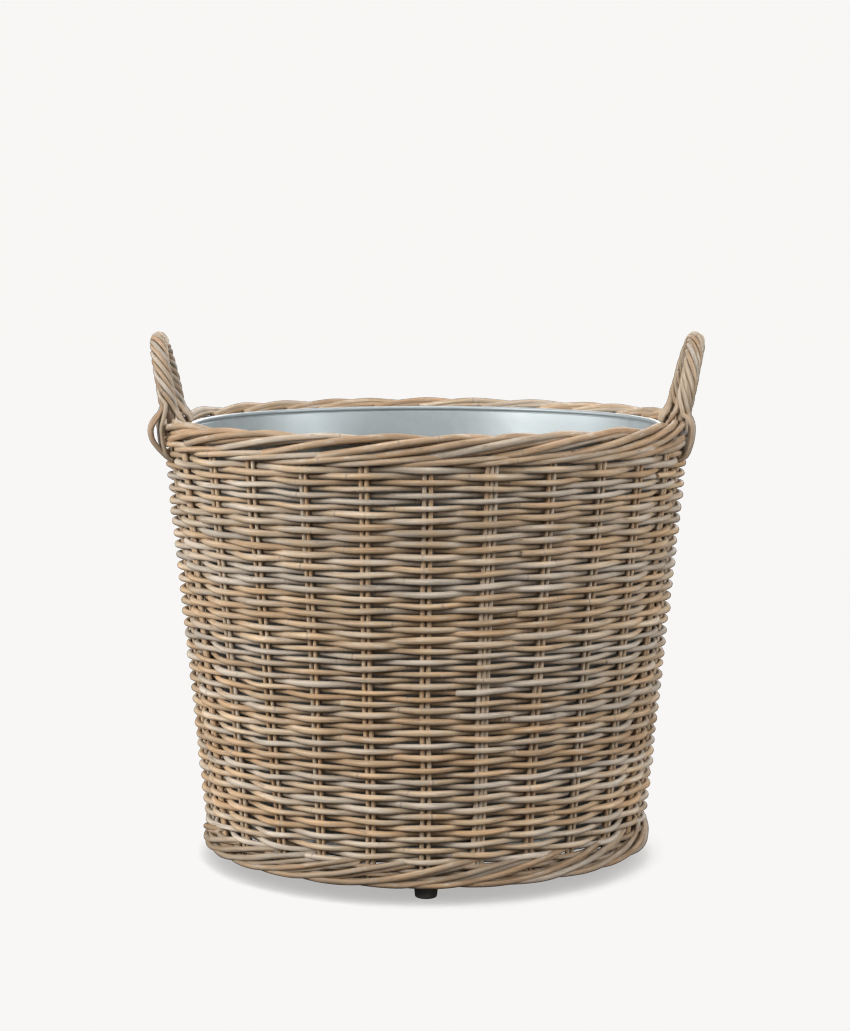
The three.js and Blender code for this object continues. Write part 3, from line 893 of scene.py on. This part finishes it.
def build_liner():
    wire_low, wire_high = span("liner_rim_wire", 2)
    wire = (wire_high - wire_low) / 2
    curl = RIM_TOP - (wire_low + wire_high) / 2
    rim = (RIM_OUTER - curl, RIM_TOP - curl)
    foot = (span("liner_base", 1)[1] - 2 * SHEET - 1.0, LINER_BOTTOM + SHEET + SEAM_LIP)
    # below the curled rim a narrow groove, then a shoulder nearly flush with the curl, then the wall
    neck = arc(rim, curl, NECK_ANGLE, NECK_ANGLE, 1)[0]
    ledge = rim[1] - curl - GROOVE
    face = rim[0] - 0.8 * curl
    shoulder = (face + SHOULDER, ledge - SHOULDER)
    inner_wall = arc(shoulder, SHOULDER, 90, 180, 6)
    inner_wall += [(face + (foot[0] - face) * t, shoulder[1] + (foot[1] - shoulder[1]) * t)
                   for t in np.linspace(0.02, 1, 24)]
    outline = [(foot[0] + SHEET, foot[1]), (face + SHEET, ledge - SHEET - 1.0),
               (face + SHEET + 0.8, ledge - SHEET), (neck[0] + SHEET, ledge - SHEET)]
    outline += arc(rim, curl - SHEET, NECK_ANGLE, -50, 14)
    outline += arc(rim, curl, -50, NECK_ANGLE, 18)
    outline += [(neck[0], ledge)]
    outline += inner_wall
    sheet = turned("liner_sheet", outline, TURNS)
    place("liner_sheet", sheet, zinc, "zinc_sheet", "liner", "liner_wall")
    ring = turned("liner_wire", arc(rim, wire, 0, 330, 12), TURNS)
    place("liner_wire", ring, steel, "steel", "liner", "liner_rim_wire")
    seam_top = span("liner_base", 2)[1]
    outer = span("liner_base", 1)[1]
    floor = [(0.01, LINER_BOTTOM), (outer - 1.2, LINER_BOTTOM), (outer - 0.35, LINER_BOTTOM + 0.35),
             (outer, LINER_BOTTOM + 1.2), (outer, seam_top - SEAM_LIP), (outer - 0.4, seam_top),
             (outer - SHEET, seam_top - SEAM_LIP), (outer - SHEET, LINER_BOTTOM + SHEET + SEAM_LIP),
             (outer - SHEET - 0.4, LINER_BOTTOM + SHEET), (0.01, LINER_BOTTOM + SHEET)]
    disc = turned("liner_floor", floor, TURNS)
    place("liner_floor", disc, zinc, "zinc_sheet", "liner", "liner_base")


FOOT_TAPER = 2.5
FOOT_ROUND = 2.2  # of the lower edge
FOOT_CHAMFER = 1.0  # of the upper edge
COUNTERBORE = 4.5
COUNTERBORE_DEPTH = 8
SCREW_HOLE = 2.1


def build_feet():
    """The four turned pads."""
    pads = []
    for side in ("front", "right", "back", "left"):
        node = f"foot_{side}"
        (x0, x1), (y0, y1), (z0, z1) = (span(node, axis) for axis in range(3))
        top = (x1 - x0) / 2
        low = top - FOOT_TAPER
        outline = [(COUNTERBORE, z0), (low - FOOT_ROUND, z0)]
        outline += arc((low - FOOT_ROUND, z0 + FOOT_ROUND), FOOT_ROUND, -80, -5, 7)
        outline += [(low + (top - low) * t, z0 + 2.4 + (z1 - z0 - 3.6) * t) for t in (0.1, 0.5, 0.9)]
        outline += arc((top - FOOT_CHAMFER, z1 - FOOT_CHAMFER), FOOT_CHAMFER, 5, 85, 5)
        shelf = z0 + COUNTERBORE_DEPTH
        outline += [(SCREW_HOLE, z1), (SCREW_HOLE, shelf), (COUNTERBORE, shelf)]
        mesh = turned(f"{node}_pad", outline, 72, centre=((x0 + x1) / 2, (y0 + y1) / 2))
        pads.append(place(f"{node}_pad", mesh, foot_plastic, "foot_plastic", "basket", node))
    return pads


def finish_cad_nodes():
    """Materials for the CAD nodes that stay as they are."""
    looks = {"base_pole_x": base_cane, "base_pole_y": base_cane, "pole_nail": steel}
    looks.update({f"foot_screw_{side}": steel for side in ("front", "right", "back", "left")})
    for node, material in looks.items():
        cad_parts[node].data.materials.clear()
        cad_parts[node].data.materials.append(material)


# ---------------------------------------------------------------------------
# Stage, light and camera
# ---------------------------------------------------------------------------
BACKDROP = srgb(248, 247, 245)


def build_stage():
    """Plain pale floor that shows only the shadow that falls on it."""
    m = Nodes("floor")
    grain = m.noise(m.object_place(), 60.0, detail=2)
    material = m.finish(
        Base_Color=m.ramp(grain, (0.3, srgb(236, 235, 233)), (0.7, srgb(240, 239, 237))),
        Roughness=0.9,
    )
    half = 12.0
    corners = [(-half, -half, 0), (half, -half, 0), (half, half, 0), (-half, half, 0)]
    mesh = bpy.data.meshes.new("floor")
    mesh.from_pydata(corners, [], [(0, 1, 2, 3)])
    mesh.materials.append(material)
    floor = bpy.data.objects.new("floor", mesh)
    floor.is_shadow_catcher = True
    bpy.context.scene.collection.objects.link(floor)
    return floor


def linked(name, objects, state):
    """Collection that makes a lamp reach only these objects (INCLUDE) or pass them by (EXCLUDE)."""
    group = bpy.data.collections.new(name)
    for obj in objects:
        group.objects.link(obj)
    for member in group.collection_objects:
        member.light_linking.link_state = state
    return group


def area_light(name, location, size, irradiance, receivers, blockers=None, shadow=True):
    """A soft round lamp aimed at the basket; a small one gives this irradiance there, in W per m2."""
    aim = Vector((0, 0, 0.25)) - Vector(location)
    data = bpy.data.lights.new(name, "AREA")
    data.shape = "DISK"
    data.size = size
    data.energy = irradiance * math.pi * aim.length_squared
    data.use_shadow = shadow
    lamp = bpy.data.objects.new(name, data)
    lamp.location = location
    lamp.rotation_euler = aim.to_track_quat("-Z", "Y").to_euler()
    lamp.visible_camera = False
    lamp.light_linking.receiver_collection = receivers
    lamp.light_linking.blocker_collection = blockers
    bpy.context.scene.collection.objects.link(lamp)
    return data


def build_light(floor, underside):
    """A plain backdrop, lamps round the basket, and two that light only the floor."""
    world = bpy.data.worlds.new("studio")
    world.use_nodes = True
    nodes, links = world.node_tree.nodes, world.node_tree.links
    ambient = nodes["Background"]
    ambient.inputs["Color"].default_value = (1, 1, 1, 1)
    ambient.inputs["Strength"].default_value = 0.08
    seen = nodes.new("ShaderNodeBackground")
    seen.inputs["Color"].default_value = BACKDROP
    ray = nodes.new("ShaderNodeLightPath")
    mixed = nodes.new("ShaderNodeMixShader")
    links.new(ray.outputs["Is Camera Ray"], mixed.inputs[0])
    links.new(ambient.outputs[0], mixed.inputs[1])
    links.new(seen.outputs[0], mixed.inputs[2])
    links.new(mixed.outputs[0], nodes["World Output"].inputs["Surface"])
    bpy.context.scene.world = world

    off_floor = linked("off_floor", [floor], "EXCLUDE")
    on_floor = linked("on_floor", [floor], "INCLUDE")
    under = linked("underside", underside, "INCLUDE")
    main = area_light("main", (-2.5, -1.8, 1.5), 1.4, 3.4, off_floor)
    main.color = (1.0, 0.985, 0.965)
    area_light("left_edge", (-3.0, 0.2, 1.2), 1.6, 1.8, off_floor)
    area_light("right", (2.6, -1.1, 1.3), 1.6, 2.8, off_floor)
    area_light("front", (0.3, -3.2, 1.8), 2.6, 0.8, off_floor)
    area_light("top", (0.0, -0.1, 3.0), 2.0, 2.2, off_floor)
    area_light("back", (0.6, 3.0, 1.7), 2.4, 2.6, off_floor)
    area_light("floor_soft", (0.0, 0.0, 1.3), 6.0, 0.72, on_floor, blockers=under)
    area_light("floor_open", (0.0, 0.0, 2.5), 2.0, 0.36, on_floor, shadow=False)
    bpy.context.scene.view_settings.view_transform = "Standard"


CAMERA_PLACE = (-0.001, -2.793, 0.671)
CAMERA_PITCH = 0.1098
FOCAL_FRACTION = 2.553  # focal length over the picture's height


def build_camera():
    data = bpy.data.cameras.new("camera")
    data.sensor_width = 36.0
    data.lens = data.sensor_width * FOCAL_FRACTION
    camera = bpy.data.objects.new("camera", data)
    camera.location = CAMERA_PLACE
    camera.rotation_euler = (math.pi / 2 - CAMERA_PITCH, 0, 0)
    bpy.context.scene.collection.objects.link(camera)
    bpy.context.scene.camera = camera


build_stakes()
build_weave()
build_wale()
build_top_border()
build_foot_border()
base_rods = build_base()
build_bow("right", HANDLE, RIGHT_LEAN, 60)
build_rope("right", HANDLE, RIGHT_LEAN, RIGHT_LOOSE, 61)
build_bow("left", -HANDLE, LEFT_LEAN, 70)
build_rope("left", -HANDLE, LEFT_LEAN, LEFT_LOOSE, 71)
build_liner()
foot_pads = build_feet()
finish_cad_nodes()
build_light(build_stage(), [base_rods, *foot_pads])
build_camera()
